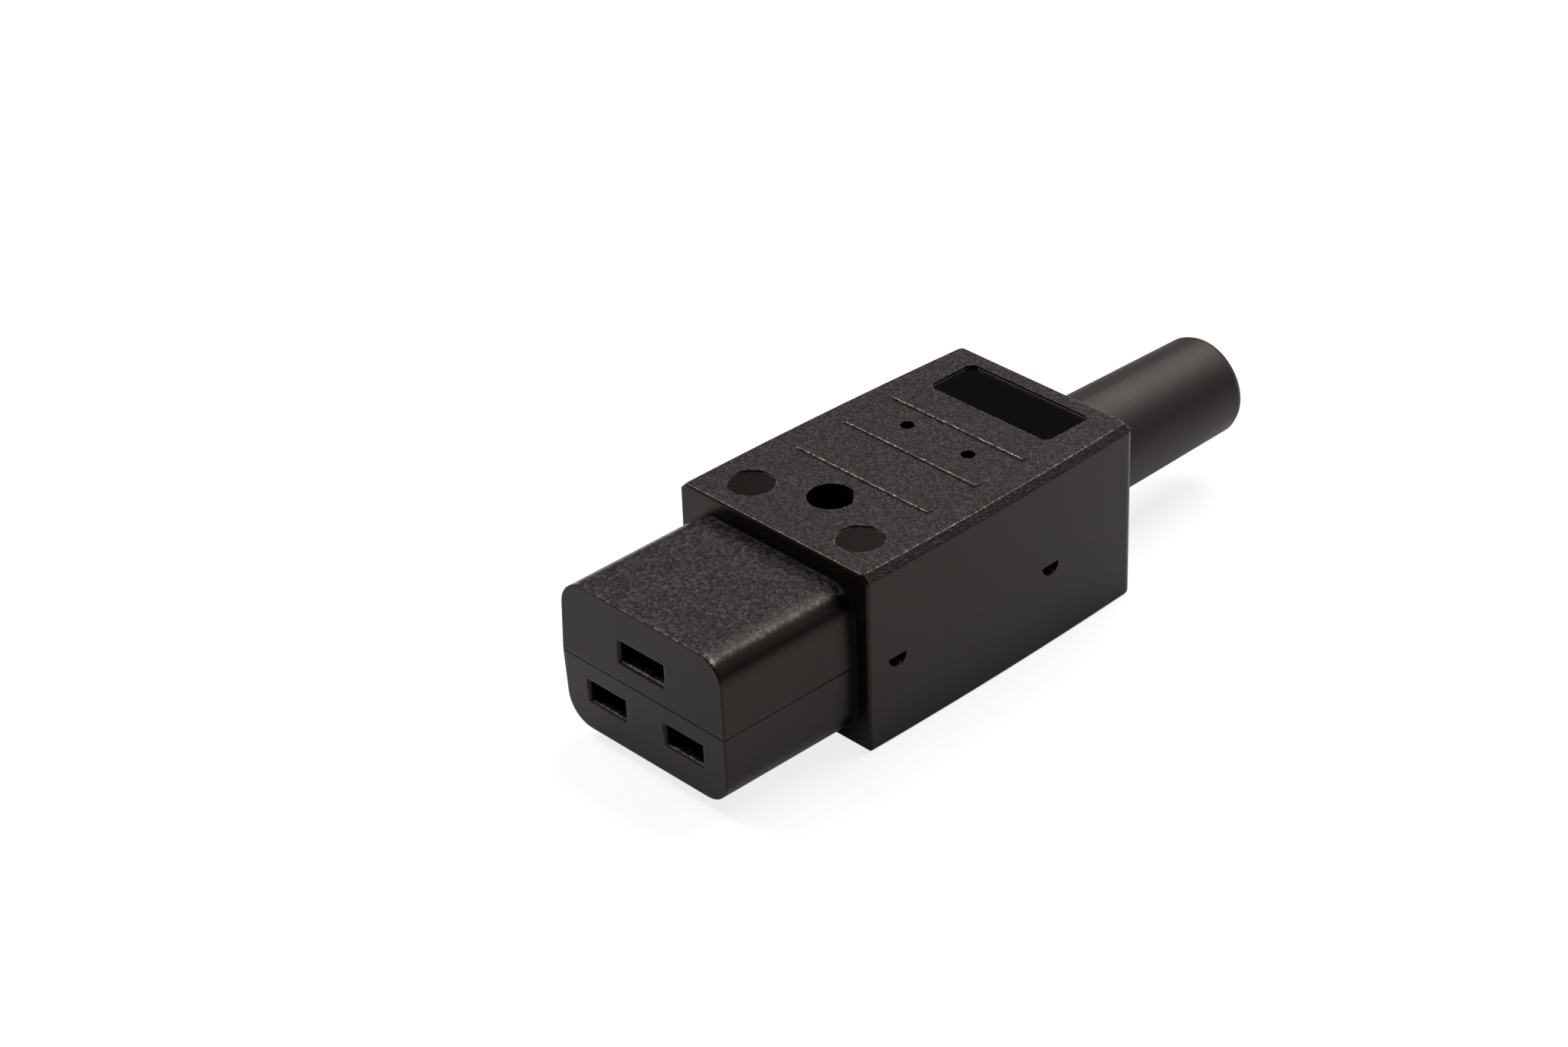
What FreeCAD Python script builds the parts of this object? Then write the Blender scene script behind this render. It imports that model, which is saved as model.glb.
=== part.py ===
import FreeCAD, Part
import os
import Sketcher

# A rewireable C19 appliance connector for a power cord: two moulded housing halves
# that each carry half of the nose and half of the grip body, three female contacts
# with their screw terminals, a cable clamp and a rubber strain-relief sleeve.
# X runs from the mating face (x = 0) to the cable end, Y across, Z up.
# The parting plane of the two halves is z = 0.

V = FreeCAD.Vector
doc = FreeCAD.newDocument("C19Connector")
sheet = doc.addObject("Spreadsheet::Sheet", "sizes")


# A size is a number with the formula that binds it to the sheet.

class Size:
    def __init__(self, value, formula):
        self.value = value
        self.formula = formula

    def __add__(self, other):
        return join(self, "+", other)

    def __sub__(self, other):
        return join(self, "-", other)

    def __mul__(self, other):
        return join(self, "*", other)

    def __truediv__(self, other):
        return join(self, "/", other)

    def __neg__(self):
        return join(plain(0), "-", self)


def plain(number):
    return number if isinstance(number, Size) else Size(float(number), repr(number))


def join(left, sign, right):
    a, b = plain(left), plain(right)
    results = {"+": lambda: a.value + b.value, "-": lambda: a.value - b.value,
               "*": lambda: a.value * b.value, "/": lambda: a.value / b.value}
    return Size(results[sign](), "(" + a.formula + " " + sign + " " + b.formula + ")")


cells = []


def size(alias, value):
    row = len(cells) + 1
    cells.append(alias)
    sheet.set("A%d" % row, alias)
    sheet.set("B%d" % row, str(value))
    sheet.setAlias("B%d" % row, alias)
    return Size(float(value), "sizes." + alias)


def bind(item, **values):
    for name, value in values.items():
        setattr(item, name, plain(value).value)
        item.setExpression(name, plain(value).formula)


def place(item, x, y, z):
    item.Placement.Base = V(plain(x).value, plain(y).value, plain(z).value)
    for axis, value in (("x", x), ("y", y), ("z", z)):
        item.setExpression("Placement.Base." + axis, plain(value).formula)


# Solids made from primitives and booleans

def box(name, x0, x1, y0, y1, z0, z1):
    item = doc.addObject("Part::Box", name)
    bind(item, Length=plain(x1) - x0, Width=plain(y1) - y0, Height=plain(z1) - z0)
    place(item, x0, y0, z0)
    return item


TURNS = {"X": FreeCAD.Rotation(V(0, 1, 0), 90), "Z": FreeCAD.Rotation()}


def rod(name, axis, x, y, z, radius, length):
    item = doc.addObject("Part::Cylinder", name)
    bind(item, Radius=radius, Height=length)
    item.Placement.Rotation = TURNS[axis]
    place(item, x, y, z)
    return item


def fuse(name, *pieces):
    item = doc.addObject("Part::MultiFuse", name)
    item.Shapes = list(pieces)
    item.Refine = True
    return item


def cut(name, base, *tools):
    item = doc.addObject("Part::Cut", name)
    item.Base = base
    item.Tool = tools[0] if len(tools) == 1 else fuse(name + "_tools", *tools)
    item.Refine = True
    return item


# Bodies made from sketches

def new_body(name):
    return doc.addObject("PartDesign::Body", name)


def new_sketch(body, role, name, offset=0):
    sketch = body.newObject("Sketcher::SketchObject", name)
    plane = [p for p in body.Origin.OriginFeatures if p.Role == role][0]
    sketch.AttachmentSupport = [(plane, "")]
    sketch.MapMode = "FlatFace"
    sketch.setExpression("AttachmentOffset.Base.z", plain(offset).formula)
    return sketch


def pin_point(sketch, geometry, end, u, v):
    for kind, value, other_axis in (("DistanceX", plain(u), -2), ("DistanceY", plain(v), -1)):
        if value.value == 0:
            sketch.addConstraint(Sketcher.Constraint("PointOnObject", geometry, end, other_axis))
        else:
            made = Sketcher.Constraint(kind, -1, 1, geometry, end, value.value)
            number = sketch.addConstraint(made)
            sketch.setExpression("Constraints[%d]" % number, value.formula)


def outline(sketch, corners, rises=None):
    # Corners run counter-clockwise; a side with a rise is an arc that bows outward by it.
    rises = rises or {}
    points = [V(plain(u).value, plain(v).value, 0) for u, v in corners]
    count = len(points)
    sides = []
    for i, start in enumerate(points):
        end = points[(i + 1) % count]
        if i in rises:
            along = end - start
            outward = V(along.y, -along.x, 0).normalize() * rises[i].value
            side = Part.Arc(start, (start + end) / 2 + outward, end)
        else:
            side = Part.LineSegment(start, end)
        sides.append(sketch.addGeometry(side, False))
    for i in range(count):
        follows = Sketcher.Constraint("Coincident", sides[i], 2, sides[(i + 1) % count], 1)
        sketch.addConstraint(follows)
    for i, (u, v) in enumerate(corners):
        pin_point(sketch, sides[i], 1, u, v)
    for i, rise in rises.items():
        du = plain(corners[(i + 1) % count][0]) - corners[i][0]
        dv = plain(corners[(i + 1) % count][1]) - corners[i][1]
        radius = ((du * du + dv * dv) / 4 + rise * rise) / (rise * 2)
        number = sketch.addConstraint(Sketcher.Constraint("Radius", sides[i], radius.value))
        sketch.setExpression("Constraints[%d]" % number, radius.formula)


QUARTER_BOW = 1 - 0.5 ** 0.5


def rounded_rectangle(sketch, u0, u1, v0, v1, radius):
    # Four straight sides joined by quarter circles.
    corners = [(u0 + radius, v0), (u1 - radius, v0), (u1, v0 + radius), (u1, v1 - radius),
               (u1 - radius, v1), (u0 + radius, v1), (u0, v1 - radius), (u0, v0 + radius)]
    bow = radius * QUARTER_BOW
    outline(sketch, corners, {1: bow, 3: bow, 5: bow, 7: bow})


def circle(sketch, u, v, radius):
    centre = V(plain(u).value, plain(v).value, 0)
    made = sketch.addGeometry(Part.Circle(centre, V(0, 0, 1), plain(radius).value), False)
    pin_point(sketch, made, 3, u, v)
    number = sketch.addConstraint(Sketcher.Constraint("Radius", made, plain(radius).value))
    sketch.setExpression("Constraints[%d]" % number, plain(radius).formula)


def pad(body, sketch, name, length, taper=None, reverse=False, both=False):
    item = body.newObject("PartDesign::Pad", name)
    item.Profile = sketch
    item.Reversed = reverse
    item.Midplane = both
    bind(item, Length=length)
    if taper:
        bind(item, TaperAngle=taper)
    doc.recompute()
    return item


def pocket(body, sketch, name, length, reverse=False, both=False):
    before = body.Shape.Volume
    item = body.newObject("PartDesign::Pocket", name)
    item.Profile = sketch
    item.Reversed = reverse
    item.Midplane = both
    bind(item, Length=length)
    doc.recompute()
    if body.Shape.Volume >= before:
        raise RuntimeError(name + " removes nothing")
    return item


def dress(body, kind, name, amount, chosen):
    # Rounds or bevels the edges of the body for which the test in chosen is true.
    base = body.Tip
    edges = []
    for i, edge in enumerate(base.Shape.Edges):
        if chosen(edge):
            edges.append("Edge%d" % (i + 1))
    if not edges:
        raise RuntimeError(name + " finds no edge")
    item = body.newObject("PartDesign::" + kind, name)
    item.Base = (base, edges)
    bind(item, **{"Radius" if kind == "Fillet" else "Size": amount})
    base.Visibility = False
    doc.recompute()
    return item


def ends(edge):
    return [v.Point for v in edge.Vertexes]


NEAR = 0.02
NEXT_TO = 1


def runs_along_x(edge):
    a, b = ends(edge)[0], ends(edge)[-1]
    return abs(a.x - b.x) > abs(a.y - b.y) and abs(a.x - b.x) > abs(a.z - b.z)


def level_edge(edge):
    a, b = ends(edge)[0], ends(edge)[-1]
    return abs(a.z - b.z) < NEAR


def at_level(edge, level):
    return all(abs(p.z - level) < NEAR for p in ends(edge))


# Housing halves, outside
# The nose is the part that enters the appliance inlet. Its sides lean in from the
# parting plane so that each half leaves its mould, and so does the front face.

nose_width = size("nose_width", 27.3)
nose_rise = size("nose_rise", 9.95)
nose_drop = size("nose_drop", 9.7)
nose_length = size("nose_length", 20.9)
nose_corner = size("nose_corner", 3.6)
nose_root = size("nose_root", 0.15)
side_lean_upper = size("side_lean_upper", 0.03)
side_lean_lower = size("side_lean_lower", 0.02)
face_lean_upper = size("face_lean_upper", 0.01)
face_lean_lower = size("face_lean_lower", 0.045)

# The grip body narrows a little towards the cable, along sides that bow outward.
body_length = size("body_length", 46.7)
body_front_width = size("body_front_width", 31.2)
body_rear_width = size("body_rear_width", 28.8)
body_side_bow = size("body_side_bow", 0.4)
body_rise = size("body_rise", 12.65)
body_drop = size("body_drop", 11.35)
body_bevel = size("body_bevel", 0.95)
soft_edge_radius = size("soft_edge_radius", 0.4)
rear_edge_radius = size("rear_edge_radius", 1.5)
reveal_depth = size("reveal_depth", 0.08)
reveal_height = size("reveal_height", 0.1)
wall = size("wall", 2.0)
overlap = size("overlap", 0.6)
fit = size("fit", 0.1)

body_end = nose_length + body_length
half_nose = nose_width / 2


def half_housing(name, up, rise, height, side_lean, face_lean, bevel_top):
    # One half as a closed block: grip body, nose, leaning front face, rounded edges.
    body = new_body(name)
    plan = new_sketch(body, "XY_Plane", name + "_plan")
    corners = [(nose_length, -body_front_width / 2), (body_end, -body_rear_width / 2),
               (body_end, body_rear_width / 2), (nose_length, body_front_width / 2)]
    outline(plan, corners, {0: body_side_bow, 2: body_side_bow})
    pad(body, plan, name + "_grip", rise, reverse=not up)
    level = rise.value if up else -rise.value
    back = body_end.value
    front = nose_length.value + NEXT_TO

    dress(body, "Fillet", name + "_rear_edges", rear_edge_radius,
          lambda e: not level_edge(e) and min(p.x for p in ends(e)) > back - NEXT_TO)
    if bevel_top:
        dress(body, "Chamfer", name + "_top_bevels", body_bevel,
              lambda e: at_level(e, level) and max(p.x for p in ends(e)) > front)
    dress(body, "Fillet", name + "_soft_edges", soft_edge_radius,
          lambda e: at_level(e, level)
          or (not level_edge(e) and max(p.x for p in ends(e)) < front))

    way = 1 if up else -1
    top_half = half_nose - height * side_lean
    section = new_sketch(body, "YZ_Plane", name + "_nose_section")
    if up:
        points = [(-half_nose, 0), (half_nose, 0), (top_half, height), (-top_half, height)]
    else:
        points = [(-top_half, -height), (top_half, -height), (half_nose, 0), (-half_nose, 0)]
    outline(section, points)
    pad(body, section, name + "_nose", nose_length + overlap)
    dress(body, "Fillet", name + "_nose_corners", nose_corner,
          lambda e: runs_along_x(e) and at_level(e, way * height.value)
          and max(p.x for p in ends(e)) < front)

    face = new_sketch(body, "XZ_Plane", name + "_face")
    deep = height * face_lean
    if up:
        outline(face, [(0, 0), (deep, height), (-overlap, height), (-overlap, 0)])
    else:
        outline(face, [(0, 0), (-overlap, 0), (-overlap, -height), (deep, -height)])
    pocket(body, face, name + "_face_lean", nose_width * 2, both=True)

    def at_nose_root(edge):
        for p in ends(edge):
            if abs(p.x - nose_length.value) > NEXT_TO or abs(p.y) > half_nose.value + NEAR:
                return False
            if abs(p.z) > height.value + NEAR:
                return False
        return edge.Length > NEAR and not at_level(edge, 0)

    dress(body, "Fillet", name + "_nose_root", nose_root, at_nose_root)
    return body


upper = half_housing("upper_outside", True, body_rise, nose_rise,
                     side_lean_upper, face_lean_upper, True)
lower = half_housing("lower_outside", False, body_drop, nose_drop,
                     side_lean_lower, face_lean_lower, False)

# On the nose, the lower half stops a hair short of the upper one's outline at the
# parting plane, which shows as a fine dark line. The grips of the halves meet flush.
kept_nose = box("reveal_nose", reveal_depth, nose_length + wall, -half_nose + reveal_depth,
                half_nose - reveal_depth, -reveal_height - overlap, overlap)
slab = box("reveal_slab", -overlap, nose_length, -body_front_width, body_front_width,
           -reveal_height, overlap)
reveal = cut("reveal", slab, kept_nose)

# Marks on the top of the grip: a recessed plate field, two shallow round recesses
# and three low grip ridges that face the nose and fade out towards the cable.
field_length = size("field_length", 7.7)
field_margin = size("field_margin", 3.0)
field_start = body_end - field_margin - field_length
field_width = size("field_width", 19.6)
field_corner = size("field_corner", 1.2)
field_depth = size("field_depth", 0.35)
disc_setback = size("disc_setback", 5.4)
disc_place = nose_length + disc_setback
disc_spread = size("disc_spread", 18.05)
disc_radius = size("disc_radius", 2.95)
disc_depth = size("disc_depth", 0.2)
ridge_setback = size("ridge_setback", 14.5)
ridge_start = nose_length + ridge_setback
ridge_pitch = size("ridge_pitch", 8.1)
ridge_width = size("ridge_width", 21.8)
ridge_height = size("ridge_height", 0.22)
ridge_run = size("ridge_run", 3.0)
RIDGES = 3

field = new_sketch(upper, "XY_Plane", "plate_field", body_rise)
rounded_rectangle(field, field_start, field_start + field_length,
                  -field_width / 2, field_width / 2, field_corner)
pocket(upper, field, "plate_field_recess", field_depth)

discs = new_sketch(upper, "XY_Plane", "round_recesses", body_rise)
for side in (-1, 1):
    circle(discs, disc_place, disc_spread / 2 * side, disc_radius)
pocket(upper, discs, "round_recesses_cut", disc_depth)

ridges = new_sketch(upper, "XZ_Plane", "grip_ridges")
for number in range(RIDGES):
    front = ridge_start + ridge_pitch * number
    outline(ridges, [(front, body_rise - disc_depth), (front + ridge_run, body_rise - disc_depth),
                     (front + ridge_run, body_rise), (front, body_rise + ridge_height)])
pad(upper, ridges, "grip_ridges_pad", ridge_width, both=True)

# Housing halves, inside
# The housing screw passes a pillar in each half. The upper pillar is counterbored
# from the top, with a flat on one side of the bore; the nut sits in the lower one.

screw_setback = size("screw_setback", 9.65)
screw_place = nose_length + screw_setback
pillar_radius = size("pillar_radius", 4.5)
counterbore_radius = size("counterbore_radius", 2.92)
counterbore_flat = size("counterbore_flat", 2.65)
counterbore_floor = size("counterbore_floor", 3.0)
thread_radius = size("thread_radius", 1.5)
nut_across = size("nut_across", 5.5)
nut_thickness = size("nut_thickness", 2.4)
nut_floor = size("nut_floor", 8.6)

cavity_start = nose_length + wall
rear_wall = size("rear_wall", 3.2)
cavity_end = body_end - rear_wall
cavity_half = body_rear_width / 2 - wall - fit * 2
roof = body_rise - wall
floor = -body_drop + wall

# Contacts lie in chambers behind the front wall: earth in the upper half, line and
# neutral in the lower half, which the ribs of the upper half hold down.
front_wall = size("front_wall", 1.8)
sheet_metal = size("sheet_metal", 0.5)
spring_metal = size("spring_metal", 0.4)
pole_spread = size("pole_spread", 13.0)
pole_level = size("pole_level", -4.2)
earth_level = size("earth_level", 4.0)
pin_thickness = size("pin_thickness", 2.4)
pole_pin_width = size("pole_pin_width", 6.0)
earth_pin_width = size("earth_pin_width", 7.2)
sleeve_start = size("sleeve_start", 5.2)
sleeve_length = size("sleeve_length", 11.0)
tail_width = size("tail_width", 4.2)
sleeve_half_height = pin_thickness / 2 + sheet_metal
pole_sleeve_half = pole_pin_width / 2 + sheet_metal
earth_sleeve_half = earth_pin_width / 2 + sheet_metal
pole_bed = pole_level - sleeve_half_height
pole_cover = pole_level + sleeve_half_height + spring_metal
earth_bed = earth_level + sleeve_half_height
earth_cover = earth_level - sleeve_half_height - spring_metal
chamber_end = cavity_start + overlap

# Terminals are square brass cages with a clamping screw; the contact's tail lies in
# the window of the cage. The pole cages stand on pads of the lower half, one each side
# of the pillar, and the earth cage hangs behind it on a pad of the upper half.
cage_length = size("cage_length", 6.8)
cage_width = size("cage_width", 5.6)
cage_height = size("cage_height", 6.0)
cage_side = size("cage_side", 0.6)
cage_base = size("cage_base", 0.8)
cage_window = size("cage_window", 3.7)
pole_cage_setback = size("pole_cage_setback", 3.4)
pole_cage_place = nose_length + pole_cage_setback
cage_gap = size("cage_gap", 0.4)
pole_cage_spread = pillar_radius * 2 + cage_width + cage_gap * 2
earth_cage_setback = size("earth_cage_setback", 15.3)
earth_cage_place = nose_length + earth_cage_setback
earth_cage_offset = size("earth_cage_offset", 6.8)
pole_cage_bottom = pole_bed - cage_base
earth_cage_top = earth_bed + cage_base

# Cable clamp: a bar across the cable, screwed up into two posts of the upper half.
clamp_setback = size("clamp_setback", 27.5)
clamp_place = nose_length + clamp_setback
clamp_spread = size("clamp_spread", 10.1)
clamp_width = size("clamp_width", 17.0)
clamp_length = size("clamp_length", 5.0)
clamp_bottom = size("clamp_bottom", 3.2)
clamp_top = size("clamp_top", 6.0)
pilot_radius = size("pilot_radius", 0.93)
post_radius = size("post_radius", 2.5)
cable_radius = size("cable_radius", 4.3)

# The sleeve's collar sits between the rear wall and a rib in each half.
collar_radius = size("collar_radius", 7.3)
collar_thickness = size("collar_thickness", 2.4)
neck_radius = size("neck_radius", 5.4)
rib_thickness = size("rib_thickness", 1.8)
rib_end = cavity_end - collar_thickness
rib_start = rib_end - rib_thickness
side_notch_radius = size("side_notch_radius", 1.45)
side_notch_setback = size("side_notch_setback", 4.65)
side_notch_place = nose_length + side_notch_setback
side_notch_pitch = size("side_notch_pitch", 26.35)

# Pin openings in the front wall, with a bevelled lead-in.
pole_slot_width = size("pole_slot_width", 6.1)
earth_slot_width = size("earth_slot_width", 7.3)
slot_height = size("slot_height", 2.6)
lead_in = size("lead_in", 0.3)
LEAD_IN_SLOPE = 45


def slot(name, across, level, width, plane_lean):
    # The opening through the front wall and the bevel that guides the pin into it.
    opening = box(name + "_slot", -overlap, front_wall + overlap, across - width / 2,
                  across + width / 2, level - slot_height / 2, level + slot_height / 2)
    guide = new_body(name + "_guide")
    mouth = new_sketch(guide, "YZ_Plane", name + "_mouth", -overlap)
    depth = lead_in + overlap + plane_lean
    wide = width / 2 + depth
    tall = slot_height / 2 + depth
    outline(mouth, [(across - wide, level - tall), (across + wide, level - tall),
                    (across + wide, level + tall), (across - wide, level + tall)])
    pad(guide, mouth, name + "_taper", depth, taper=-LEAD_IN_SLOPE)
    return opening, guide


# Upper half: cavity, earth chamber, then pillar, posts, pad, rib and hold-down ribs.
upper_cavity = box("upper_cavity", cavity_start, cavity_end, -cavity_half, cavity_half,
                   -overlap, roof)
earth_half = earth_sleeve_half + spring_metal + fit
earth_chamber = box("earth_chamber", front_wall, chamber_end, -earth_half, earth_half,
                    earth_cover, earth_bed)
earth_tail_way = box("earth_tail_way", sleeve_start + sleeve_length - overlap - fit, chamber_end,
                     0, earth_cage_offset + tail_width / 2 + fit, earth_cover, earth_bed)
upper_hollow = cut("upper_hollow", upper, upper_cavity, earth_chamber, earth_tail_way)

upper_pillar = rod("upper_pillar", "Z", screw_place, 0, 0, pillar_radius, roof + overlap)
posts = []
for side, hand in ((1, "left"), (-1, "right")):
    posts.append(rod(hand + "_post", "Z", clamp_place, clamp_spread / 2 * side, clamp_top,
                     post_radius, roof - clamp_top + overlap))
earth_pad = box("earth_pad", earth_cage_place, earth_cage_place + cage_length,
                earth_cage_offset - cage_width / 2, earth_cage_offset + cage_width / 2,
                earth_cage_top, roof + overlap)
upper_rib = box("upper_rib", rib_start, rib_end, -cavity_half - overlap, cavity_half + overlap,
                0, roof + overlap)
hold_down_inset = size("hold_down_inset", 2.8)
hold_downs = []
for side, hand in ((1, "left"), (-1, "right")):
    middle = pole_spread / 2 * side
    hold_downs.append(box(hand + "_hold_down", sleeve_start + hold_down_inset,
                          sleeve_start + sleeve_length - hold_down_inset,
                          middle - pole_pin_width / 2, middle + pole_pin_width / 2,
                          pole_cover, overlap))
upper_ribbed = fuse("upper_ribbed", upper_hollow, upper_pillar, earth_pad, upper_rib,
                    *posts, *hold_downs)

flat_reach = size("flat_reach", 20)
counterbore_round = rod("counterbore_round", "Z", screw_place, 0, counterbore_floor,
                        counterbore_radius, body_rise)
counterbore_side = doc.addObject("Part::Box", "counterbore_side")
bind(counterbore_side, Length=counterbore_flat + flat_reach, Width=flat_reach * 2, Height=body_rise)
counterbore_side.Placement.Rotation = FreeCAD.Rotation(V(0, 0, 1), -45)
SQUARE_DIAGONAL = 2 ** 0.5
place(counterbore_side, screw_place - flat_reach * SQUARE_DIAGONAL, 0, counterbore_floor)
counterbore = doc.addObject("Part::Common", "counterbore")
counterbore.Base = counterbore_round
counterbore.Tool = counterbore_side
screw_way = rod("upper_screw_way", "Z", screw_place, 0, -overlap, thread_radius + fit * 2,
                counterbore_floor + overlap * 2)
pilots = []
for side, hand in ((1, "left"), (-1, "right")):
    pilots.append(rod(hand + "_pilot", "Z", clamp_place, clamp_spread / 2 * side,
                      clamp_top - overlap, pilot_radius, body_rise))
upper_gland = rod("upper_gland", "X", rib_start - overlap, 0, 0, neck_radius + fit,
                  body_end - rib_start + overlap * 2)
earth_slot, earth_guide = slot("earth", plain(0), earth_level, earth_slot_width,
                               earth_level * face_lean_upper)
upper_shell = cut("upper_shell", upper_ribbed, counterbore, screw_way, upper_gland,
                  earth_slot, earth_guide, *pilots)

# Lower half: cavity and pole chambers, then pillar, cage pads, cable saddle and rib.
lower_cavity = box("lower_cavity", cavity_start, cavity_end, -cavity_half, cavity_half,
                   floor, overlap)
pole_half = pole_sleeve_half + spring_metal + fit
chambers = []
for side, hand in ((1, "left"), (-1, "right")):
    middle = pole_spread / 2 * side
    chambers.append(box(hand + "_chamber", front_wall, chamber_end, middle - pole_half,
                        middle + pole_half, pole_bed, overlap))
lower_hollow = cut("lower_hollow", lower, reveal, lower_cavity, *chambers)
lower_pillar = rod("lower_pillar", "Z", screw_place, 0, floor - overlap, pillar_radius,
                   -floor + overlap)
cage_pads = []
for side, hand in ((1, "left"), (-1, "right")):
    middle = pole_cage_spread / 2 * side
    cage_pads.append(box(hand + "_cage_pad", pole_cage_place, pole_cage_place + cage_length,
                         middle - cage_width / 2, middle + cage_width / 2,
                         floor - overlap, pole_cage_bottom))
saddle_depth = size("saddle_depth", 2.0)
saddle = box("saddle", clamp_place - clamp_length / 2, clamp_place + clamp_length / 2,
             -cavity_half - overlap, cavity_half + overlap, floor - overlap, -saddle_depth)
lower_rib = box("lower_rib", rib_start, rib_end, -cavity_half - overlap, cavity_half + overlap,
                floor - overlap, 0)
lower_ribbed = fuse("lower_ribbed", lower_hollow, lower_pillar, saddle, lower_rib, *cage_pads)

lower_way = rod("lower_screw_way", "Z", screw_place, 0, -body_drop, thread_radius + fit * 2,
                body_drop + overlap)
nut_seat = doc.addObject("Part::Prism", "nut_seat")
nut_seat.Polygon = 6
HEXAGON = 3 ** 0.5
bind(nut_seat, Circumradius=nut_across / HEXAGON + fit, Height=body_drop - nut_floor + overlap)
place(nut_seat, screw_place, 0, -body_drop - overlap)
saddle_groove = rod("saddle_groove", "X", clamp_place - clamp_length, 0, 0, cable_radius,
                    clamp_length * 2)
lower_gland = rod("lower_gland", "X", rib_start - overlap, 0, 0, neck_radius + fit,
                  body_end - rib_start + overlap * 2)
notch_tools = []
for number in range(2):
    notch = doc.addObject("Part::Cylinder", "side_notch_%d" % (number + 1))
    bind(notch, Radius=side_notch_radius, Height=body_front_width + overlap * 2)
    notch.Placement.Rotation = FreeCAD.Rotation(V(1, 0, 0), -90)
    place(notch, side_notch_place + side_notch_pitch * number,
          -body_front_width / 2 - overlap, 0)
    notch_tools.append(notch)
pole_guides = []
for side, hand in ((1, "left"), (-1, "right")):
    pole_guides.extend(slot(hand + "_pole", pole_spread / 2 * side, pole_level,
                            pole_slot_width, -pole_level * face_lean_lower))
lower_shell = cut("lower_shell", lower_ribbed, lower_way, nut_seat, saddle_groove,
                  lower_gland, *notch_tools, *pole_guides)


# Strain-relief sleeve: soft rubber, tapering a little, with its collar in the housing.
boot_length = size("boot_length", 29.7)
boot_radius = size("boot_radius", 7.15)
boot_end_radius = size("boot_end_radius", 6.64)
boot_rim = size("boot_rim", 0.9)
boot_bore = size("boot_bore", 4.2)
boot_end = body_end + boot_length
boot = new_body("strain_relief_boot")
profile = new_sketch(boot, "XZ_Plane", "boot_profile")
rim_bow = boot_rim * QUARTER_BOW
outline(profile, [(rib_end, boot_bore), (boot_end, boot_bore),
                  (boot_end, boot_end_radius - boot_rim), (boot_end - rim_bow, boot_end_radius - rim_bow),
                  (boot_end - boot_rim, boot_end_radius), (body_end, boot_radius),
                  (body_end, neck_radius), (cavity_end, neck_radius),
                  (cavity_end, collar_radius), (rib_end, collar_radius)])
turned = boot.newObject("PartDesign::Revolution", "boot_turned")
turned.Profile = profile
turned.ReferenceAxis = (profile, ["H_Axis"])
turned.Angle = 360
doc.recompute()


# Contacts: a sleeve folded from sheet brass round each pin, with a sprung tongue on
# its open side and a tail that runs flat into its terminal. way is +1 where the tail
# lies on the lower side of the sleeve (line and neutral), and -1 for the earth.

tongue_length = size("tongue_length", 8.0)
tongue_gap = size("tongue_gap", 0.4)
tongue_share = size("tongue_share", 0.6)
dimple = size("dimple", 0.45)
fold = size("fold", 0.45)


def stack(bed, way, low, high):
    # Levels counted from the bed that the tail lies on, towards the pin.
    a, b = bed + plain(low) * way, bed + plain(high) * way
    return (a, b) if way > 0 else (b, a)


def contact(name, middle, bed, way, half_width, tail_middle, tail_end):
    low, high = stack(bed, way, 0, sleeve_half_height * 2)
    outer = box(name + "_outer", sleeve_start, sleeve_start + sleeve_length,
                middle - half_width, middle + half_width, low, high)
    rounded = doc.addObject("Part::Fillet", name + "_folded")
    rounded.Base = outer
    doc.recompute()
    long_edges = [i + 1 for i, e in enumerate(outer.Shape.Edges) if runs_along_x(e)]
    rounded.Edges = [(i, fold.value, fold.value) for i in long_edges]
    low, high = stack(bed, way, sheet_metal, sleeve_half_height * 2 - sheet_metal)
    inner = box(name + "_inner", sleeve_start - overlap, sleeve_start + sleeve_length + overlap,
                middle - half_width + sheet_metal, middle + half_width - sheet_metal, low, high)
    tube = cut(name + "_tube", rounded, inner)
    low, high = stack(bed, way, 0, sheet_metal)
    reach_low = middle - half_width + fold
    side = tail_middle - tail_width / 2
    shift = side.value < reach_low.value
    root_low = side if shift else reach_low
    root_high = tail_middle + tail_width / 2
    if root_high.value < (middle + half_width - fold).value:
        root_high = middle + half_width - fold
    root = box(name + "_root", sleeve_start + sleeve_length - overlap,
               sleeve_start + sleeve_length + tail_width / 2, root_low, root_high, low, high)
    tail = box(name + "_tail", sleeve_start + sleeve_length, tail_end,
               tail_middle - tail_width / 2, tail_middle + tail_width / 2, low, high)
    low, high = stack(bed, way, sleeve_half_height * 2 - sheet_metal - dimple,
                      sleeve_half_height * 2 - sheet_metal / 2)
    bump = box(name + "_grip", sleeve_start + tongue_length / 2, sleeve_start + tongue_length,
               middle - half_width / 2, middle + half_width / 2, low, high)
    whole = fuse(name + "_whole", tube, root, tail, bump)
    low, high = stack(bed, way, sleeve_half_height * 2 - sheet_metal - tongue_gap,
                      sleeve_half_height * 2 + overlap)
    slits = []
    for hand, side_way in (("left", 1), ("right", -1)):
        edge = middle + half_width * tongue_share * side_way
        slits.append(box(name + "_" + hand + "_slit", sleeve_start - overlap,
                         sleeve_start + tongue_length, edge - tongue_gap / 2,
                         edge + tongue_gap / 2, low, high))
    return cut(name, whole, *slits)


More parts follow.
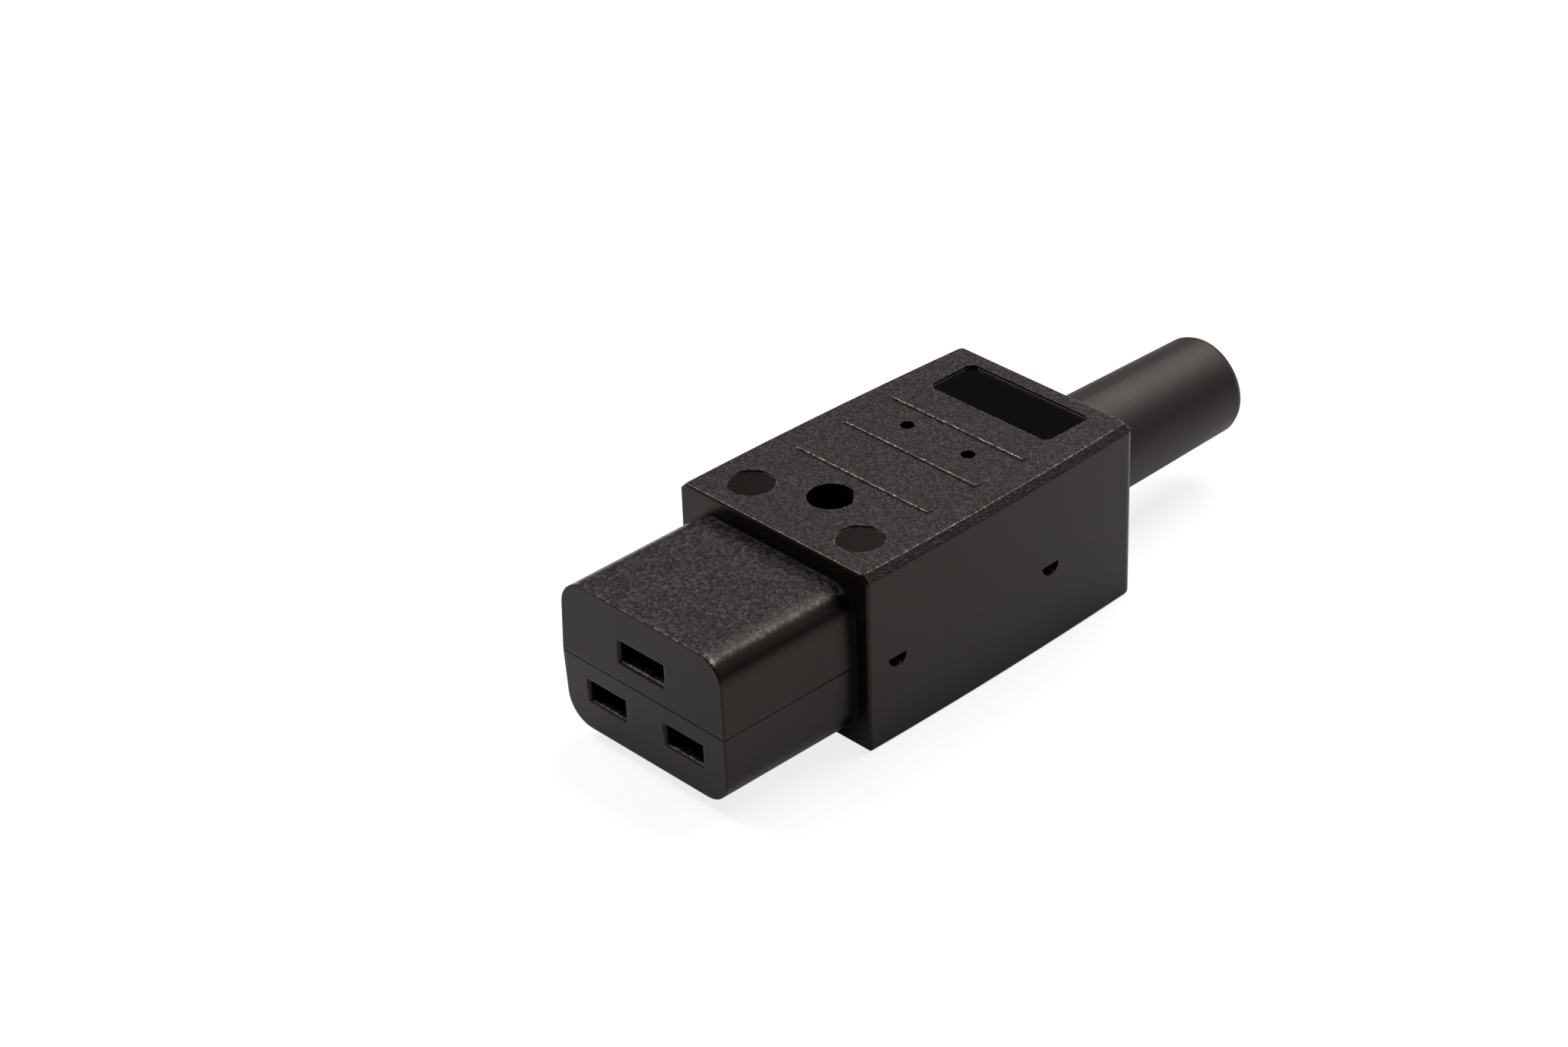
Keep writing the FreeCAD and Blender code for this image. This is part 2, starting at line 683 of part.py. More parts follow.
def over_spring(name, middle, bed, way, half_width):
    # A steel clip that hugs the sleeve on three sides and keeps its grip on the pin.
    low, high = stack(bed, way, spring_metal, sleeve_half_height * 2 + spring_metal)
    start = sleeve_start + sleeve_length / 2 - spring_length / 2
    outer = box(name + "_outer", start, start + spring_length,
                middle - half_width - spring_metal, middle + half_width + spring_metal, low, high)
    low, high = stack(bed, way, 0, sleeve_half_height * 2)
    inner = box(name + "_inner", start - overlap, start + spring_length + overlap,
                middle - half_width, middle + half_width, low, high)
    return cut(name, outer, inner)


# Terminals: a brass cage with a window along X for the wire, and its clamping screw.

screw_radius = size("terminal_screw_radius", 1.75)
head_radius = size("terminal_head_radius", 2.3)
head_height = size("terminal_head_height", 1.6)
screw_grip = size("terminal_screw_grip", 2.6)
drive_slot = size("drive_slot", 0.8)
spring_length = size("spring_length", 5.0)


def cage(name, place_x, middle, bed, way):
    low, high = stack(bed, way, -cage_base, cage_height - cage_base)
    block = box(name + "_block", place_x, place_x + cage_length, middle - cage_width / 2,
                middle + cage_width / 2, low, high)
    low, high = stack(bed, way, 0, cage_window)
    window = box(name + "_window", place_x - overlap, place_x + cage_length + overlap,
                 middle - cage_width / 2 + cage_side, middle + cage_width / 2 - cage_side,
                 low, high)
    low, high = stack(bed, way, cage_window - overlap, cage_height - cage_base + overlap)
    thread = rod(name + "_thread", "Z", place_x + cage_length / 2, middle, low, screw_radius,
                 high - low)
    return cut(name, block, window, thread)


def terminal_screw(name, place_x, middle, bed, way):
    face = cage_height - cage_base
    x = place_x + cage_length / 2
    low, high = stack(bed, way, face, face + head_height)
    head = rod(name + "_head", "Z", x, middle, low, head_radius, high - low)
    low, high = stack(bed, way, face - screw_grip, face + head_height / 2)
    shank = rod(name + "_shank", "Z", x, middle, low, screw_radius, high - low)
    low, high = stack(bed, way, face + head_height / 2, face + head_height + overlap)
    slit = box(name + "_slot", x - head_radius - overlap, x + head_radius + overlap,
               middle - drive_slot / 2, middle + drive_slot / 2, low, high)
    return cut(name, fuse(name + "_blank", head, shank), slit)


subparts = [upper_shell, lower_shell, boot]
for side, pole in ((1, "line"), (-1, "neutral")):
    middle = pole_spread / 2 * side
    tail_middle = pole_cage_spread / 2 * side
    subparts.append(contact(pole + "_contact", middle, pole_bed, 1, pole_sleeve_half,
                            tail_middle, pole_cage_place + cage_length))
    subparts.append(over_spring(pole + "_contact_spring", middle, pole_bed, 1,
                                pole_sleeve_half))
    subparts.append(cage(pole + "_terminal", pole_cage_place, tail_middle, pole_bed, 1))
    subparts.append(terminal_screw(pole + "_terminal_screw", pole_cage_place, tail_middle,
                                   pole_bed, 1))
subparts.append(contact("earth_contact", plain(0), earth_bed, -1, earth_sleeve_half,
                        earth_cage_offset, earth_cage_place + cage_length))
subparts.append(over_spring("earth_contact_spring", plain(0), earth_bed, -1,
                            earth_sleeve_half))
subparts.append(cage("earth_terminal", earth_cage_place, earth_cage_offset, earth_bed, -1))
subparts.append(terminal_screw("earth_terminal_screw", earth_cage_place, earth_cage_offset,
                               earth_bed, -1))

# Housing screw and its nut.
housing_head_radius = size("housing_head_radius", 2.5)
housing_head_height = size("housing_head_height", 2.2)
recess_depth = size("recess_depth", 1.2)
recess_arm = size("recess_arm", 2.6)
recess_width = size("recess_width", 0.7)
screw_end = -nut_floor - nut_thickness
head = rod("housing_head", "Z", screw_place, 0, counterbore_floor, housing_head_radius,
           housing_head_height)
shank = rod("housing_shank", "Z", screw_place, 0, screw_end, thread_radius,
            counterbore_floor - screw_end + overlap)
head_top = counterbore_floor + housing_head_height
recess = []
for name, along, over in (("long", recess_arm, recess_width), ("cross", recess_width, recess_arm)):
    recess.append(box("recess_" + name, screw_place - along / 2, screw_place + along / 2,
                      -over / 2, over / 2, head_top - recess_depth, head_top + overlap))
subparts.append(cut("housing_screw", fuse("housing_screw_blank", head, shank), *recess))

nut_block = doc.addObject("Part::Prism", "nut_block")
nut_block.Polygon = 6
bind(nut_block, Circumradius=nut_across / HEXAGON, Height=nut_thickness)
place(nut_block, screw_place, 0, screw_end)
nut_thread = rod("nut_thread", "Z", screw_place, 0, screw_end - overlap, thread_radius,
                 nut_thickness + overlap * 2)
subparts.append(cut("housing_nut", nut_block, nut_thread))

# Cable clamp bar with an arch for the cable, and its two screws from below.
clamp_head_radius = size("clamp_head_radius", 1.85)
clamp_head_height = size("clamp_head_height", 1.6)
clamp_screw_reach = size("clamp_screw_reach", 3.6)
clamp_bar = box("clamp_bar", clamp_place - clamp_length / 2, clamp_place + clamp_length / 2,
                -clamp_width / 2, clamp_width / 2, clamp_bottom, clamp_top)
arch = rod("clamp_arch", "X", clamp_place - clamp_length, 0, 0, cable_radius, clamp_length * 2)
clamp_cuts = [arch]
clamp_screws = []
for side, hand in ((1, "left"), (-1, "right")):
    across = clamp_spread / 2 * side
    clamp_cuts.append(rod(hand + "_clamp_way", "Z", clamp_place, across, clamp_bottom,
                          pilot_radius + fit, clamp_top))
    clamp_cuts.append(rod(hand + "_clamp_seat", "Z", clamp_place, across,
                          clamp_bottom - overlap, clamp_head_radius + fit,
                          clamp_head_height + overlap))
    head = rod(hand + "_clamp_head", "Z", clamp_place, across, clamp_bottom,
               clamp_head_radius, clamp_head_height)
    shank = rod(hand + "_clamp_shank", "Z", clamp_place, across, clamp_bottom + overlap,
                pilot_radius, clamp_top - clamp_bottom + clamp_screw_reach - overlap)
    drive = box(hand + "_clamp_drive", clamp_place - head_radius, clamp_place + head_radius,
                across - drive_slot / 2, across + drive_slot / 2,
                clamp_bottom - overlap, clamp_bottom + drive_slot)
    clamp_screws.append(cut(hand + "_clamp_screw", fuse(hand + "_clamp_blank", head, shank),
                            drive))
subparts.append(cut("cable_clamp", clamp_bar, *clamp_cuts))
subparts.extend(clamp_screws)

doc.recompute()
for item in doc.Objects:
    if "Invalid" in item.State or "Error" in item.State:
        raise RuntimeError(item.Name + " failed")
os.makedirs("parts", exist_ok=True)
for item in subparts:
    item.Label = item.Name
    shape = item.Shape
    if shape.isNull() or not shape.isValid() or len(shape.Solids) != 1:
        raise RuntimeError(item.Name + " is not one valid solid")
    shape.exportStep("parts/" + item.Label + ".step")
    print(item.Label, round(shape.Volume, 2), shape.BoundBox)
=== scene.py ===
import bpy
from mathutils import Matrix, Vector

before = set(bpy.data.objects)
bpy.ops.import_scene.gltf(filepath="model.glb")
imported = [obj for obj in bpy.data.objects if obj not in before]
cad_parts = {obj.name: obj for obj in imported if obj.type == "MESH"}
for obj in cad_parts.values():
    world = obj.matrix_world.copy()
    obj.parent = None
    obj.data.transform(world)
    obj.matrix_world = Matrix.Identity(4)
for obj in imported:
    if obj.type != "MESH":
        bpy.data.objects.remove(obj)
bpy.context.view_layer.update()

# Camera
# It looks down on the nose and on the right side of the grip, so that the sleeve
# points away to the upper right. The lens is long, so the edges stay nearly parallel.
LENS_MM = 88.56
FILM_MM = 36
camera_place = Vector((-0.234862, -0.277434, 0.246764))
camera_look = Vector((0.578833, 0.622900, -0.526259))
camera_up = Vector((0.383833, 0.361274, 0.849796))

lens = bpy.data.cameras.new("photo_view")
lens.lens = LENS_MM
lens.sensor_width = FILM_MM
lens.sensor_fit = "HORIZONTAL"
lens.clip_start = 0.01
lens.clip_end = 20
camera = bpy.data.objects.new("photo_view", lens)
bpy.context.scene.collection.objects.link(camera)
camera_right = camera_look.cross(camera_up).normalized()
turn = Matrix((camera_right, camera_right.cross(camera_look), -camera_look)).transposed()
camera.matrix_world = Matrix.Translation(camera_place) @ turn.to_4x4()
bpy.context.scene.camera = camera

# Housing halves
# Two halves moulded from black polyamide and drawn together by one screw. The mould is
# spark-eroded for the level faces and long bevels, which leaves a coarse dull grain, and
# ground smooth for the sides and roundings. The plate field's floor is polished.
MM = 1000
GRAIN_MM = 0.27
GRAIN_DEPTH_MM = 0.08
NOSE_GRAIN_SHARE = 0.65
BEVEL_GRAIN_SHARE = 0.6
SIDE_GRAIN_MM = 0.5
SIDE_DEPTH_MM = 0.004
EDGE_MM = 0.2

# Places that part the zones: along the connector, across it and up.
FRONT_EDGE_MM = 0.8
SHOULDER_MM = 20.5
ROOT_MM = 20.9
ROOT_REACH_MM = 0.6
NOSE_END_MM = 21.0
ROOT_Y_MM = 14.2
PARTING_MM = 0.06
SEAM_REACH_MM = 0.35
NOSE_TOP_MM = 11.0
FIELD_FLOOR_MM = 12.4
DISC_FLOOR_MM = 12.55
CREST_MM = 12.85

# Slants are the upward part of a face's normal, and the forward part for the shoulder.
LEVEL_FROM = 0.9
LEVEL_FULL = 0.99
FLAT_SLANT = 0.95
FORWARD_SLANT = -0.9
BEVEL_SLANT = 0.707
BEVEL_REACH = 0.03
GLINT_SLANT = 0.87
GLINT_REACH = 0.1
FRONT_GLINT_EXTRA = 0.035
GLINT_CORE = 0.02
SHARP_FROM = 0.98
SHARP_FULL = 0.9
# Least strength of the painted edge highlight.
LEAST_GLINT_WEIGHT = 0.25

SPECKLE_FROM = 0.42
SPECKLE_FULL = 0.85
SIDE_ROUGH_LOW = 0.3
SIDE_ROUGH_HIGH = 0.38
COARSE_ROUGH = 0.5
DISC_ROUGH = 0.27
ROOT_ROUGH = 0.8
POLISHED_ROUGH = 0.1


def colour(text):
    # An sRGB hex value as linear colour with alpha.
    parts = [int(text[i:i + 2], 16) / 255 for i in (1, 3, 5)]
    linear = [p / 12.92 if p <= 0.04045 else ((p + 0.055) / 1.055) ** 2.4 for p in parts]
    return (*linear, 1)


def node(tree, kind, settings=None, values=None, links=None):
    made = tree.nodes.new(kind)
    for name, value in (settings or {}).items():
        setattr(made, name, value)
    for name, value in (values or {}).items():
        made.inputs[name].default_value = value
    for name, output in (links or {}).items():
        tree.links.new(output, made.inputs[name])
    return made


def new_material(name):
    # A material with its surface shader and a place vector counted in millimetres.
    material = bpy.data.materials.new(name)
    material.use_nodes = True
    tree = material.node_tree
    shader = tree.nodes["Principled BSDF"]
    where = node(tree, "ShaderNodeTexCoord")
    place = node(tree, "ShaderNodeVectorMath", {"operation": "SCALE"}, {"Scale": MM},
                 {0: where.outputs["Object"]})
    return material, tree, shader, place.outputs[0]


def dress(name, material):
    for slot in bpy.data.objects[name].material_slots:
        slot.material = material


def housing_plastic():
    material, tree, shader, place = new_material("spark_eroded_black_polyamide")
    shader.inputs["IOR"].default_value = 1.5
    shader.inputs["Specular IOR Level"].default_value = 0.188
    shader.inputs["Specular Tint"].default_value = colour("#ffeadc")

    def sums(operation, first, second, limit=None):
        # first and second are outputs or plain numbers.
        made = node(tree, "ShaderNodeMath", {"operation": operation})
        for i, item in enumerate((first, second)):
            if isinstance(item, (int, float)):
                made.inputs[i].default_value = item
            else:
                tree.links.new(item, made.inputs[i])
        if limit is not None:
            made.inputs[2].default_value = limit
        return made.outputs[0]

    # Zones of the housing. Grain lies on level faces and the grip's bevels, outside the
    # sunk floors. The nose's root and the seam on the grip keep square edges.
    where = node(tree, "ShaderNodeTexCoord")
    facing = node(tree, "ShaderNodeSeparateXYZ", links={0: where.outputs["Normal"]})
    spot = node(tree, "ShaderNodeSeparateXYZ", links={0: place})
    tilt = sums("ABSOLUTE", facing.outputs["Z"], 0)
    level = node(tree, "ShaderNodeMapRange", {"interpolation_type": "SMOOTHSTEP"},
                 {"From Min": LEVEL_FROM, "From Max": LEVEL_FULL}, {"Value": tilt}).outputs[0]
    slanted = sums("COMPARE", tilt, BEVEL_SLANT, BEVEL_REACH)
    on_grip = sums("GREATER_THAN", spot.outputs["X"], NOSE_END_MM)
    above_nose = sums("GREATER_THAN", spot.outputs["Z"], NOSE_TOP_MM)
    flat = sums("GREATER_THAN", facing.outputs["Z"], FLAT_SLANT)
    low = sums("LESS_THAN", spot.outputs["Z"], DISC_FLOOR_MM)
    lowest = sums("LESS_THAN", spot.outputs["Z"], FIELD_FLOOR_MM)
    sunk = sums("MULTIPLY", sums("MULTIPLY", low, above_nose), flat)
    polished = sums("MULTIPLY", sums("MULTIPLY", lowest, above_nose), flat)
    bevel = sums("MULTIPLY", sums("MULTIPLY", slanted, on_grip), BEVEL_GRAIN_SHARE)
    textured = sums("MAXIMUM", level, bevel)
    coarse = sums("MULTIPLY", textured, sums("SUBTRACT", 1, sunk))
    crest = sums("GREATER_THAN", spot.outputs["Z"], CREST_MM)
    near_root = sums("COMPARE", spot.outputs["X"], ROOT_MM, ROOT_REACH_MM)
    inward = sums("LESS_THAN", sums("ABSOLUTE", spot.outputs["Y"], 0), ROOT_Y_MM)
    hollow = sums("MULTIPLY", near_root, sums("SUBTRACT", 1, above_nose))
    hollow = sums("MULTIPLY", hollow, inward)
    behind_nose = sums("GREATER_THAN", spot.outputs["X"], SHOULDER_MM)
    forward = sums("LESS_THAN", facing.outputs["X"], FORWARD_SLANT)
    shoulder = sums("MULTIPLY", forward, behind_nose)
    near_seam = sums("COMPARE", spot.outputs["Z"], 0, SEAM_REACH_MM)
    square = sums("MAXIMUM", hollow, sums("MULTIPLY", near_seam, on_grip))
    # The grip's seam line is real; its lighter tone is a painted highlight.
    seam_highlight = sums("LESS_THAN", sums("ABSOLUTE", spot.outputs["Z"], 0), PARTING_MM)
    seam_highlight = sums("MULTIPLY", seam_highlight, on_grip)

    # Softened edges, twice as wide at the nose's front, and painted highlights on them
    front_edge = sums("LESS_THAN", spot.outputs["X"], FRONT_EDGE_MM)
    wide = sums("MULTIPLY", sums("ADD", front_edge, 1), EDGE_MM / MM)
    edge = sums("MULTIPLY", sums("SUBTRACT", 1, square), wide)
    rounded = node(tree, "ShaderNodeBevel", {"samples": 8}, {}, {"Radius": edge})
    surface = node(tree, "ShaderNodeNewGeometry")
    turned = node(tree, "ShaderNodeVectorMath", {"operation": "DOT_PRODUCT"}, {},
                  {0: rounded.outputs[0], 1: surface.outputs["Normal"]})
    sharp = node(tree, "ShaderNodeMapRange", {}, {"From Min": SHARP_FROM, "From Max": SHARP_FULL},
                 {"Value": turned.outputs["Value"]}).outputs[0]
    up = node(tree, "ShaderNodeSeparateXYZ", links={0: rounded.outputs[0]}).outputs["Z"]
    # Painted highlight: a light tone where the softened normal tilts up towards the lamps.
    reach = sums("ADD", sums("MULTIPLY", front_edge, FRONT_GLINT_EXTRA), GLINT_REACH)
    band = node(tree, "ShaderNodeMapRange", {}, {"From Max": GLINT_CORE},
                {"Value": sums("ABSOLUTE", sums("SUBTRACT", up, GLINT_SLANT), 0),
                 "From Min": reach}).outputs[0]
    # Strength of the painted highlight: full on sharp edges, on the grip and at the nose's front.
    glint_weight = sums("MAXIMUM", sums("MAXIMUM", sharp, on_grip),
                sums("MAXIMUM", front_edge, LEAST_GLINT_WEIGHT))
    # The ridge crests get the painted highlight in full.
    glint = sums("MAXIMUM", sums("MULTIPLY", band, glint_weight), crest)

    # Relief: coarse grain, larger on the nose than on the grip, over a faint waviness
    closer = sums("ADD", sums("MULTIPLY", on_grip, 1 - NOSE_GRAIN_SHARE), NOSE_GRAIN_SHARE)
    grain_place = node(tree, "ShaderNodeVectorMath", {"operation": "SCALE"}, {},
                       {0: place, "Scale": closer}).outputs[0]
    craters = node(tree, "ShaderNodeTexNoise", {}, {"Scale": 1 / GRAIN_MM, "Detail": 2.0,
                   "Roughness": 0.6}, {"Vector": grain_place})
    pits = node(tree, "ShaderNodeTexVoronoi", {}, {"Scale": 1 / GRAIN_MM},
                {"Vector": grain_place})
    relief = sums("ADD", craters.outputs[0], pits.outputs["Distance"])
    coarse_relief = sums("MULTIPLY", relief, coarse)
    fine = node(tree, "ShaderNodeTexNoise", {}, {"Scale": 1 / SIDE_GRAIN_MM, "Detail": 4.0},
                {"Vector": place})
    side_bump = node(tree, "ShaderNodeBump", {},
                     {"Strength": 1.0, "Distance": SIDE_DEPTH_MM / MM},
                     {"Height": fine.outputs[0], "Normal": rounded.outputs[0]})
    bump = node(tree, "ShaderNodeBump", {}, {"Strength": 1.0, "Distance": GRAIN_DEPTH_MM / MM},
                {"Height": coarse_relief, "Normal": side_bump.outputs[0]})
    tree.links.new(bump.outputs[0], shader.inputs["Normal"])

    # Colour: speckled grain, sides, painted light on shoulder, glints and seam, polished floor
    speckle = node(tree, "ShaderNodeMapRange", {},
                   {"From Min": SPECKLE_FROM, "From Max": SPECKLE_FULL},
                   {"Value": pits.outputs["Color"]})
    top_tone = node(tree, "ShaderNodeMix", {"data_type": "RGBA"},
                    {"A": colour("#080708"), "B": colour("#343034")}, {0: speckle.outputs[0]})
    # Sides, with painted light: the forward face behind the nose gets a lighter tone.
    side_tone_with_painted_shoulder = node(tree, "ShaderNodeMix", {"data_type": "RGBA"},
                     {"A": colour("#0e0b0a"), "B": colour("#1a1614")}, {0: shoulder})
    tone = node(tree, "ShaderNodeMix", {"data_type": "RGBA"}, {},
                {0: coarse, "A": side_tone_with_painted_shoulder.outputs[2], "B": top_tone.outputs[2]})
    # Speckled light tone of the painted highlights.
    glint_tone = node(tree, "ShaderNodeMix", {"data_type": "RGBA"},
                     {"A": colour("#353130"), "B": colour("#989089")}, {0: speckle.outputs[0]})
    tone = node(tree, "ShaderNodeMix", {"data_type": "RGBA"}, {},
                {0: glint, "A": tone.outputs[2], "B": glint_tone.outputs[2]})
    seam_highlight_tone = node(tree, "ShaderNodeMix", {"data_type": "RGBA"}, {"B": colour("#262320")},
                     {0: seam_highlight, "A": tone.outputs[2]})
    shine_tone = node(tree, "ShaderNodeMix", {"data_type": "RGBA"}, {"B": colour("#050509")},
                      {0: polished, "A": seam_highlight_tone.outputs[2]})
    tree.links.new(shine_tone.outputs[2], shader.inputs["Base Color"])

    # Roughness, zone by zone
    side_dull = node(tree, "ShaderNodeMapRange", {},
                     {"To Min": SIDE_ROUGH_LOW, "To Max": SIDE_ROUGH_HIGH},
                     {"Value": fine.outputs[0]})
    dull = node(tree, "ShaderNodeMix", {}, {"B": COARSE_ROUGH},
                {0: coarse, "A": side_dull.outputs[0]})
    disc = node(tree, "ShaderNodeMix", {}, {"B": DISC_ROUGH}, {0: sunk, "A": dull.outputs[0]})
    nose_end = sums("MULTIPLY", hollow, sums("SUBTRACT", 1, shoulder))
    root = node(tree, "ShaderNodeMix", {}, {"B": ROOT_ROUGH},
                {0: nose_end, "A": disc.outputs[0]})
    rough = node(tree, "ShaderNodeMix", {}, {"B": POLISHED_ROUGH},
                 {0: polished, "A": root.outputs[0]})
    tree.links.new(rough.outputs[0], shader.inputs["Roughness"])
    return material


plastic = housing_plastic()
dress("upper_shell", plastic)
dress("lower_shell", plastic)

# Strain-relief sleeve
# Moulded from black PVC rubber in a polished mould and left to bloom a little, so it
# has a soft satin sheen. Its collar is caught between the rear walls of the halves.
SLEEVE_GRAIN_MM = 0.6
SLEEVE_DEPTH_MM = 0.006
BLOOM_PER_MM = 0.12
SLEEVE_ROUGH_LOW = 0.52
SLEEVE_ROUGH_HIGH = 0.6


def sleeve_rubber():
    material, tree, shader, place = new_material("satin_black_pvc_rubber")
    shader.inputs["IOR"].default_value = 1.52
    shader.inputs["Specular IOR Level"].default_value = 0.34
    shader.inputs["Specular Tint"].default_value = colour("#ffeee6")
    skin = node(tree, "ShaderNodeTexNoise", {}, {"Scale": 1 / SLEEVE_GRAIN_MM, "Detail": 4.0},
                {"Vector": place})
    bump = node(tree, "ShaderNodeBump", {}, {"Strength": 1.0, "Distance": SLEEVE_DEPTH_MM / MM},
                {"Height": skin.outputs[0]})
    tree.links.new(bump.outputs[0], shader.inputs["Normal"])
    bloom = node(tree, "ShaderNodeTexNoise", {}, {"Scale": BLOOM_PER_MM, "Detail": 2.0},
                 {"Vector": place})
    tone = node(tree, "ShaderNodeMix", {"data_type": "RGBA"},
                {"A": colour("#0c0b0b"), "B": colour("#111010")}, {0: bloom.outputs[0]})
    tree.links.new(tone.outputs[2], shader.inputs["Base Color"])
    dull = node(tree, "ShaderNodeMapRange", {},
                {"To Min": SLEEVE_ROUGH_LOW, "To Max": SLEEVE_ROUGH_HIGH},
                {"Value": bloom.outputs[0]})
    tree.links.new(dull.outputs[0], shader.inputs["Roughness"])
    return material


dress("strain_relief_boot", sleeve_rubber())

# Contacts and terminal cages
# Folded from brass strip and milled from brass bar, bare. Rolling leaves fine lines along
# the strip, and handling a faint uneven tarnish.
ROLLING_MM = 0.15
ROLLING_STRETCH = (0.05, 1.0, 1.0)
TARNISH_PER_MM = 0.4


def metal(name, bright, dark, dull_low, dull_high):
    material, tree, shader, place = new_material(name)
    shader.inputs["Metallic"].default_value = 1.0
    along = node(tree, "ShaderNodeMapping", {"vector_type": "POINT"},
                 {"Scale": ROLLING_STRETCH}, {"Vector": place})
    lines = node(tree, "ShaderNodeTexNoise", {}, {"Scale": 1 / ROLLING_MM, "Detail": 2.0},
                 {"Vector": along.outputs[0]})
    stain = node(tree, "ShaderNodeTexNoise", {}, {"Scale": TARNISH_PER_MM, "Detail": 3.0},
                 {"Vector": place})
    tone = node(tree, "ShaderNodeMix", {"data_type": "RGBA"},
                {"A": colour(dark), "B": colour(bright)}, {0: stain.outputs[0]})
    tree.links.new(tone.outputs[2], shader.inputs["Base Color"])
    dull = node(tree, "ShaderNodeMapRange", {}, {"To Min": dull_low, "To Max": dull_high},
                {"Value": lines.outputs[0]})
    tree.links.new(dull.outputs[0], shader.inputs["Roughness"])
    return material


brass = metal("rolled_brass", "#d9b976", "#b58f4c", dull_low=0.22, dull_high=0.38)
for pole in ("line", "neutral", "earth"):
    dress(pole + "_contact", brass)
    dress(pole + "_terminal", brass)

# Clips, screws and nut
# Spring clips of hardened strip, and cold-headed screws and nut, all zinc plated to a
# cool grey. The screws are turned in after the wires are laid.
zinc = metal("zinc_plated_steel", "#c9ccd0", "#9da1a6", dull_low=0.25, dull_high=0.42)
for pole in ("line", "neutral", "earth"):
    dress(pole + "_contact_spring", zinc)
    dress(pole + "_terminal_screw", zinc)
for name in ("housing_screw", "housing_nut", "left_clamp_screw", "right_clamp_screw"):
    dress(name, zinc)

# Cable clamp
# A bar moulded from black polyamide, ground dull, that the two small screws pull up
# against the cord.
CLAMP_GRAIN_MM = 0.4
CLAMP_ROUGH_LOW = 0.5
CLAMP_ROUGH_HIGH = 0.65


def clamp_plastic():
    material, tree, shader, place = new_material("moulded_black_polyamide")
    grain = node(tree, "ShaderNodeTexNoise", {}, {"Scale": 1 / CLAMP_GRAIN_MM, "Detail": 3.0},
                 {"Vector": place})
    tone = node(tree, "ShaderNodeMix", {"data_type": "RGBA"},
                {"A": colour("#1d1d1e"), "B": colour("#2b2b2c")}, {0: grain.outputs[0]})
    tree.links.new(tone.outputs[2], shader.inputs["Base Color"])
    dull = node(tree, "ShaderNodeMapRange", {},
                {"To Min": CLAMP_ROUGH_LOW, "To Max": CLAMP_ROUGH_HIGH},
                {"Value": grain.outputs[0]})
    tree.links.new(dull.outputs[0], shader.inputs["Roughness"])
    return material


dress("cable_clamp", clamp_plastic())

# Floor and studio
# A white sweep of paper a hair below the connector. What the camera sees of it is lifted
# to white, and the soft shadow stays. Its mirror image in the plastic darkens at contact.
FLOOR_MM = -11.4
CONTACT_MM = 9.0
FLOOR_HALF_M = 3.0
PAPER_ROUGH = 0.9
PAPER_LIFT = 0.82
FIBRES_PER_M = 60.0
STUDIO_STRENGTH = 0.06


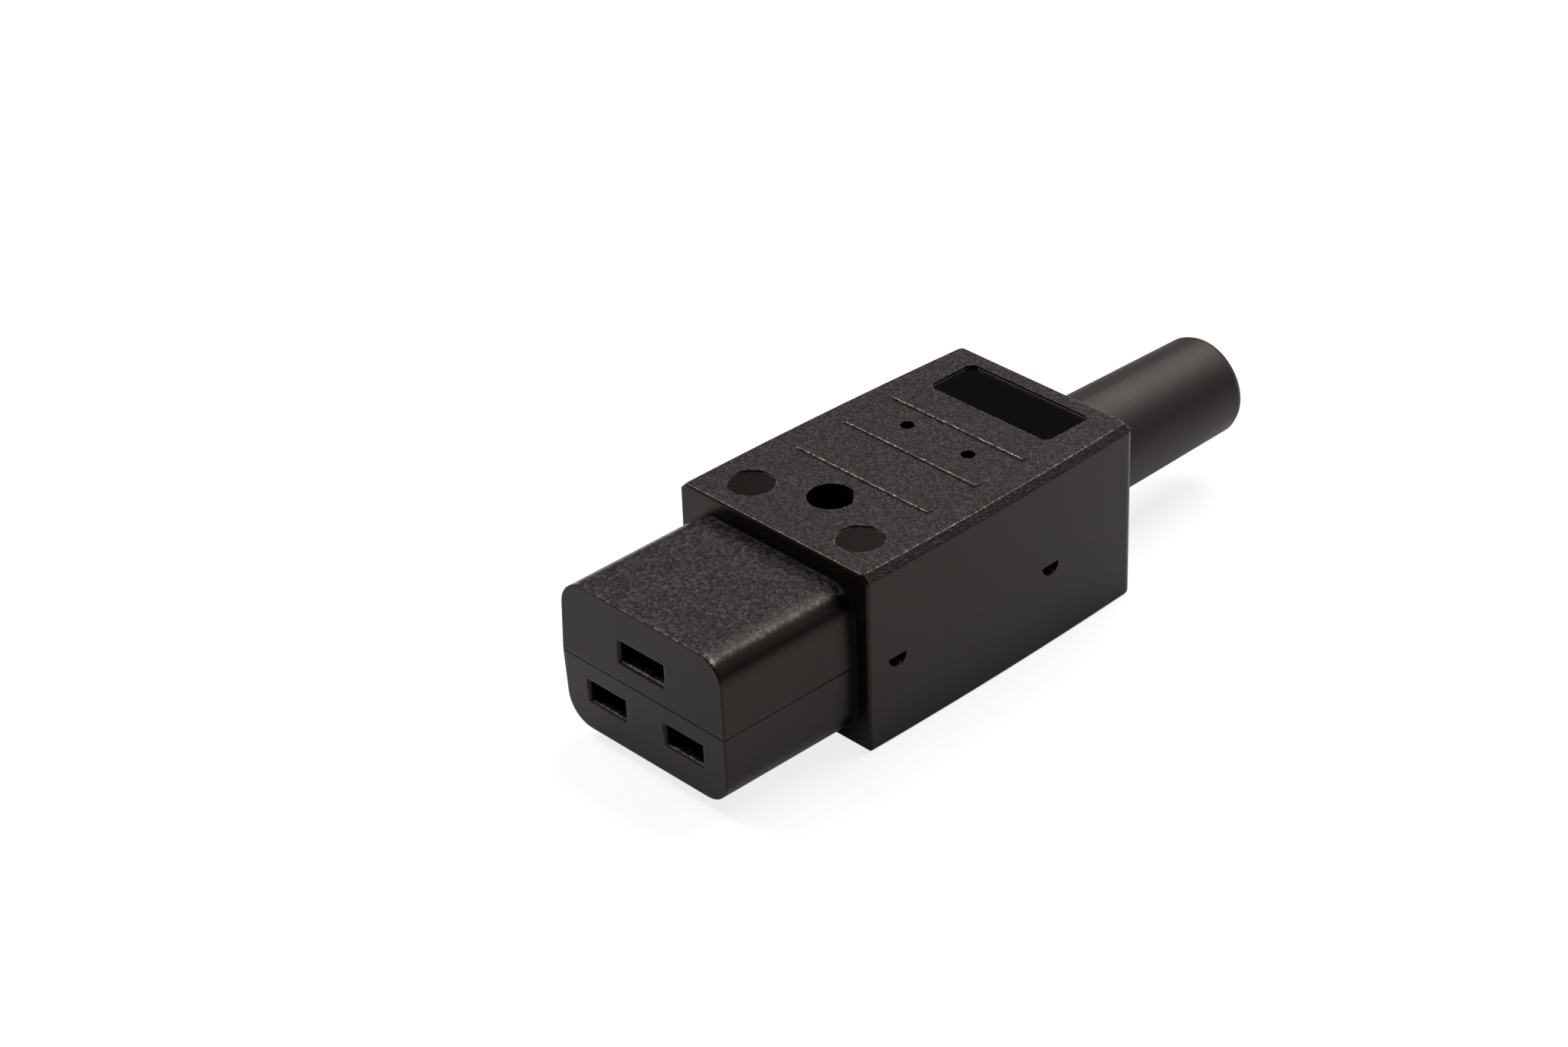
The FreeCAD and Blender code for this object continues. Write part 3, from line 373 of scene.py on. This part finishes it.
def paper():
    material = bpy.data.materials.new("white_paper")
    material.use_nodes = True
    tree = material.node_tree
    shader = tree.nodes["Principled BSDF"]
    shader.inputs["Roughness"].default_value = PAPER_ROUGH
    shader.inputs["Specular IOR Level"].default_value = 0.0
    where = node(tree, "ShaderNodeTexCoord")
    fibre = node(tree, "ShaderNodeTexNoise", {}, {"Scale": FIBRES_PER_M, "Detail": 2.0},
                 {"Vector": where.outputs["Object"]})
    tone = node(tree, "ShaderNodeMix", {"data_type": "RGBA"},
                {"A": colour("#8a8886"), "B": colour("#8e8c8a")}, {0: fibre.outputs[0]})
    tree.links.new(tone.outputs[2], shader.inputs["Base Color"])
    seen = node(tree, "ShaderNodeLightPath")
    open_sky = node(tree, "ShaderNodeAmbientOcclusion", {"samples": 8},
                    {"Distance": CONTACT_MM / MM})
    mirrored = node(tree, "ShaderNodeMath", {"operation": "MULTIPLY"},
                    links={0: seen.outputs["Is Glossy Ray"], 1: open_sky.outputs["AO"]})
    shown = node(tree, "ShaderNodeMath", {"operation": "MAXIMUM"},
                 links={0: seen.outputs["Is Camera Ray"], 1: mirrored.outputs[0]})
    through = node(tree, "ShaderNodeMath", {"operation": "MAXIMUM"},
                   links={0: shown.outputs[0], 1: seen.outputs["Is Transmission Ray"]})
    lift = node(tree, "ShaderNodeMath", {"operation": "MULTIPLY"}, {1: PAPER_LIFT},
                {0: through.outputs[0]})
    shader.inputs["Emission Color"].default_value = (1, 1, 1, 1)
    tree.links.new(lift.outputs[0], shader.inputs["Emission Strength"])
    return material


floor_mesh = bpy.data.meshes.new("floor")
corners = [(-FLOOR_HALF_M, -FLOOR_HALF_M), (FLOOR_HALF_M, -FLOOR_HALF_M),
           (FLOOR_HALF_M, FLOOR_HALF_M), (-FLOOR_HALF_M, FLOOR_HALF_M)]
floor_mesh.from_pydata([(x, y, FLOOR_MM / MM) for x, y in corners], [], [(0, 1, 2, 3)])
floor = bpy.data.objects.new("floor", floor_mesh)
bpy.context.scene.collection.objects.link(floor)
floor_mesh.materials.append(paper())

world = bpy.data.worlds.new("studio")
bpy.context.scene.world = world
world.use_nodes = True
background = world.node_tree.nodes["Background"]
background.inputs["Color"].default_value = colour("#fbf6f0")
background.inputs["Strength"].default_value = STUDIO_STRENGTH

# Lamps
# Three square softboxes. A large one overhead and a little behind the grip does nearly all
# the lighting, a smaller one behind on the left picks out the front edges, and a faint one
# on the right fills the roundings.
aim = Vector((0.035, 0, 0))


def softbox(name, place, side, power):
    lamp = bpy.data.lights.new(name, "AREA")
    lamp.shape = "RECTANGLE"
    lamp.size = side
    lamp.size_y = side
    lamp.energy = power
    item = bpy.data.objects.new(name, lamp)
    item.location = place
    item.rotation_euler = (aim - Vector(place)).to_track_quat("-Z", "Y").to_euler()
    bpy.context.scene.collection.objects.link(item)


softbox("overhead_softbox", (0.60, 0.10, 0.80), side=0.75, power=11.4)
softbox("rim_softbox", (-0.12, 0.64, 0.76), side=0.4, power=7.0)
softbox("right_fill_softbox", (0.60, -0.45, 0.50), side=0.6, power=0.9)

bpy.context.scene.view_settings.view_transform = "Standard"
